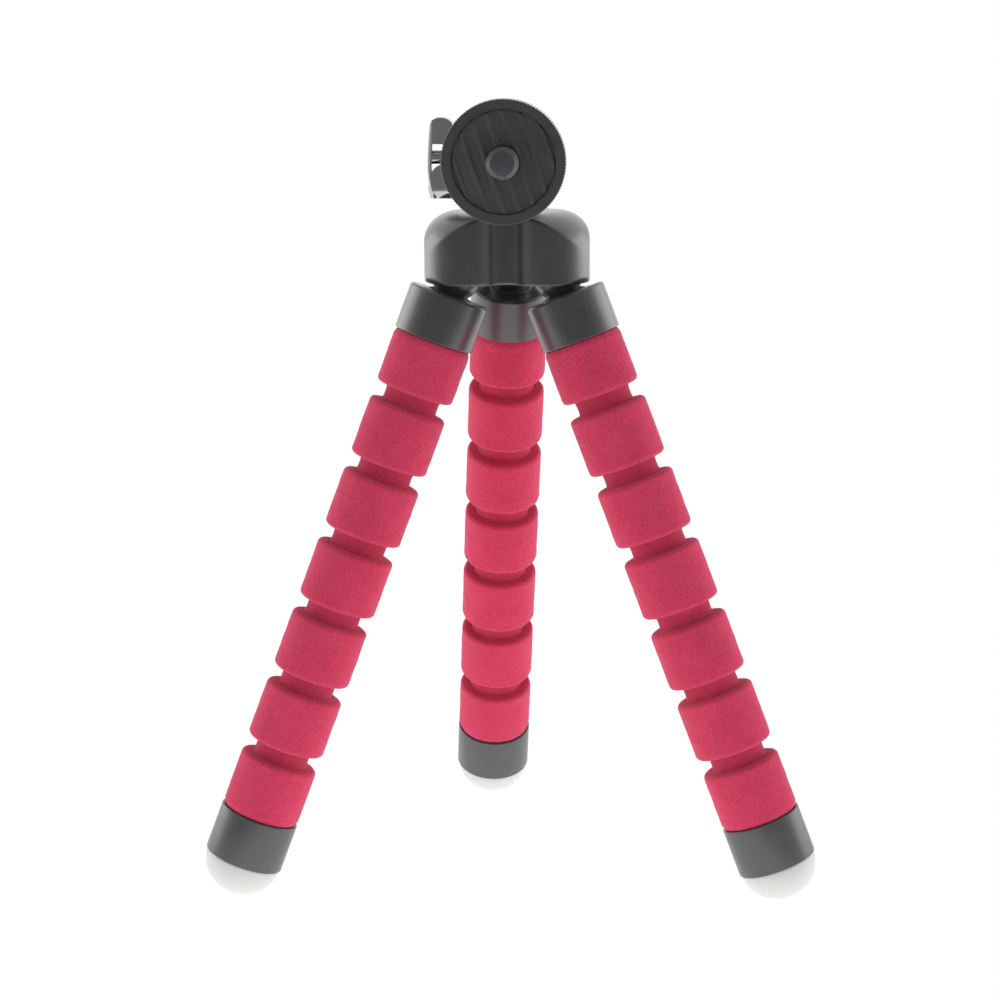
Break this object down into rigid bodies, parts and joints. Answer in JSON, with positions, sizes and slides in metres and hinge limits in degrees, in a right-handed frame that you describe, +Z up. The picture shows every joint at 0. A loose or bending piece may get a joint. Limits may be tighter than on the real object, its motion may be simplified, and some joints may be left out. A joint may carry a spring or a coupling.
{
  "type": "flexible leg tripod",
  "caption": "Small camera tripod with bendable grooved foam legs on a trefoil hub, a ball head with a knurled platform and camera screw, and a side lock knob.",
  "frame": {"origin": "middle of the footprint box, on the floor under the feet", "axes": "+Z up; -Y is the front, where the platform faces at rest; +X is to the right seen from the front"},
  "size_m": [0.125, 0.088, 0.1628],
  "materials": {
    "black_plastic": "satin moulded black",
    "grey_plastic": "satin dark grey",
    "foam": "matt closed-cell foam, raspberry red",
    "milky_foot": "milky translucent soft plastic",
    "pad_rubber": "matt ribbed rubber",
    "core_aluminium": "bare drawn wire",
    "ball_metal": "smooth turned metal",
    "steel": "zinc plated",
    "chrome": "polished chrome plating"
  },
  "bodies": {
    "base": {"hub": "black_plastic", "hub_screw": "steel", "head_socket": "black_plastic"},
    "head": {"head_ball": "ball_metal"},
    "plate": {"platform": "black_plastic", "pad": "pad_rubber", "camera_screw": "steel"},
    "knob": {"lock_knob": "chrome"},
    "left_link_1": {"left_collar": "black_plastic", "left_foam_1": "foam", "left_core_1": "core_aluminium"},
    "left_link_2": {"left_foam_2": "foam", "left_core_2": "core_aluminium"},
    "left_link_3": {"left_foam_3": "foam", "left_core_3": "core_aluminium"},
    "left_link_4": {"left_foam_4": "foam", "left_core_4": "core_aluminium"},
    "left_link_5": {"left_foam_5": "foam", "left_core_5": "core_aluminium"},
    "left_link_6": {"left_foam_6": "foam", "left_core_6": "core_aluminium"},
    "left_link_7": {"left_foam_7": "foam", "left_core_7": "core_aluminium", "left_foot_collar": "grey_plastic", "left_foot_tip": "milky_foot"},
    "right_link_1": {"right_collar": "black_plastic", "right_foam_1": "foam", "right_core_1": "core_aluminium"},
    "right_link_2": {"right_foam_2": "foam", "right_core_2": "core_aluminium"},
    "right_link_3": {"right_foam_3": "foam", "right_core_3": "core_aluminium"},
    "right_link_4": {"right_foam_4": "foam", "right_core_4": "core_aluminium"},
    "right_link_5": {"right_foam_5": "foam", "right_core_5": "core_aluminium"},
    "right_link_6": {"right_foam_6": "foam", "right_core_6": "core_aluminium"},
    "right_link_7": {"right_foam_7": "foam", "right_core_7": "core_aluminium", "right_foot_collar": "grey_plastic", "right_foot_tip": "milky_foot"},
    "back_link_1": {"back_collar": "black_plastic", "back_foam_1": "foam", "back_core_1": "core_aluminium"},
    "back_link_2": {"back_foam_2": "foam", "back_core_2": "core_aluminium"},
    "back_link_3": {"back_foam_3": "foam", "back_core_3": "core_aluminium"},
    "back_link_4": {"back_foam_4": "foam", "back_core_4": "core_aluminium"},
    "back_link_5": {"back_foam_5": "foam", "back_core_5": "core_aluminium"},
    "back_link_6": {"back_foam_6": "foam", "back_core_6": "core_aluminium"},
    "back_link_7": {"back_foam_7": "foam", "back_core_7": "core_aluminium", "back_foot_collar": "grey_plastic", "back_foot_tip": "milky_foot"}
  },
  "joints": [
    {"name": "head_tilt", "type": "hinge", "parent": "base", "child": "head", "pos_m": [0, -0.02054, 0.15049], "axis": [-1, 0, 0], "range_deg": [0, 115]},
    {"name": "plate_spin", "type": "hinge", "parent": "head", "child": "plate", "pos_m": [0, -0.03553, 0.15049], "axis": [0, -1, 0], "continuous": true},
    {"name": "knob_turn", "type": "hinge", "parent": "base", "child": "knob", "pos_m": [-0.012, -0.02054, 0.15049], "axis": [-1, 0, 0], "range_deg": [-45, 270]},
    {"name": "left_splay", "type": "hinge", "parent": "base", "child": "left_link_1", "pos_m": [-0.01013, -0.02638, 0.12709], "axis": [0.2079, -0.9781, 0], "range_deg": [-4, 21]},
    {"name": "left_bend_1", "type": "hinge", "parent": "left_link_1", "child": "left_link_2", "pos_m": [-0.01949, -0.02837, 0.10217], "axis": [-0.2079, 0.9781, 0], "range_deg": [-18, 18]},
    {"name": "left_bend_2", "type": "hinge", "parent": "left_link_2", "child": "left_link_3", "pos_m": [-0.02492, -0.02953, 0.08769], "axis": [-0.2079, 0.9781, 0], "range_deg": [-18, 18]},
    {"name": "left_bend_3", "type": "hinge", "parent": "left_link_3", "child": "left_link_4", "pos_m": [-0.03036, -0.03068, 0.07322], "axis": [-0.2079, 0.9781, 0], "range_deg": [-18, 18]},
    {"name": "left_bend_4", "type": "hinge", "parent": "left_link_4", "child": "left_link_5", "pos_m": [-0.03579, -0.03184, 0.05875], "axis": [0.2079, -0.9781, 0], "range_deg": [-18, 18]},
    {"name": "left_bend_5", "type": "hinge", "parent": "left_link_5", "child": "left_link_6", "pos_m": [-0.04122, -0.03299, 0.04428], "axis": [0.2079, -0.9781, 0], "range_deg": [-18, 18]},
    {"name": "left_bend_6", "type": "hinge", "parent": "left_link_6", "child": "left_link_7", "pos_m": [-0.04666, -0.03415, 0.02981], "axis": [0.2079, -0.9781, 0], "range_deg": [-18, 18]},
    {"name": "right_splay", "type": "hinge", "parent": "base", "child": "right_link_1", "pos_m": [0.01013, -0.02638, 0.12709], "axis": [0.2079, 0.9781, 0], "range_deg": [-4, 21]},
    {"name": "right_bend_1", "type": "hinge", "parent": "right_link_1", "child": "right_link_2", "pos_m": [0.01949, -0.02837, 0.10217], "axis": [-0.2079, -0.9781, 0], "range_deg": [-18, 18]},
    {"name": "right_bend_2", "type": "hinge", "parent": "right_link_2", "child": "right_link_3", "pos_m": [0.02492, -0.02953, 0.08769], "axis": [-0.2079, -0.9781, 0], "range_deg": [-18, 18]},
    {"name": "right_bend_3", "type": "hinge", "parent": "right_link_3", "child": "right_link_4", "pos_m": [0.03036, -0.03068, 0.07322], "axis": [-0.2079, -0.9781, 0], "range_deg": [-18, 18]},
    {"name": "right_bend_4", "type": "hinge", "parent": "right_link_4", "child": "right_link_5", "pos_m": [0.03579, -0.03184, 0.05875], "axis": [0.2079, 0.9781, 0], "range_deg": [-18, 18]},
    {"name": "right_bend_5", "type": "hinge", "parent": "right_link_5", "child": "right_link_6", "pos_m": [0.04122, -0.03299, 0.04428], "axis": [0.2079, 0.9781, 0], "range_deg": [-18, 18]},
    {"name": "right_bend_6", "type": "hinge", "parent": "right_link_6", "child": "right_link_7", "pos_m": [0.04666, -0.03415, 0.02981], "axis": [0.2079, 0.9781, 0], "range_deg": [-18, 18]},
    {"name": "back_splay", "type": "hinge", "parent": "base", "child": "back_link_1", "pos_m": [0, -0.00884, 0.12709], "axis": [-0.9877, -0.1564, 0], "range_deg": [-4, 21]},
    {"name": "back_bend_1", "type": "hinge", "parent": "back_link_1", "child": "back_link_2", "pos_m": [-0.0015, 0.00062, 0.10217], "axis": [0.9877, 0.1564, 0], "range_deg": [-18, 18]},
    {"name": "back_bend_2", "type": "hinge", "parent": "back_link_2", "child": "back_link_3", "pos_m": [-0.00237, 0.0061, 0.08769], "axis": [0.9877, 0.1564, 0], "range_deg": [-18, 18]},
    {"name": "back_bend_3", "type": "hinge", "parent": "back_link_3", "child": "back_link_4", "pos_m": [-0.00324, 0.01159, 0.07322], "axis": [0.9877, 0.1564, 0], "range_deg": [-18, 18]},
    {"name": "back_bend_4", "type": "hinge", "parent": "back_link_4", "child": "back_link_5", "pos_m": [-0.0041, 0.01707, 0.05875], "axis": [-0.9877, -0.1564, 0], "range_deg": [-18, 18]},
    {"name": "back_bend_5", "type": "hinge", "parent": "back_link_5", "child": "back_link_6", "pos_m": [-0.00497, 0.02256, 0.04428], "axis": [-0.9877, -0.1564, 0], "range_deg": [-18, 18]},
    {"name": "back_bend_6", "type": "hinge", "parent": "back_link_6", "child": "back_link_7", "pos_m": [-0.00584, 0.02805, 0.02981], "axis": [-0.9877, -0.1564, 0], "range_deg": [-18, 18]}
  ]
}
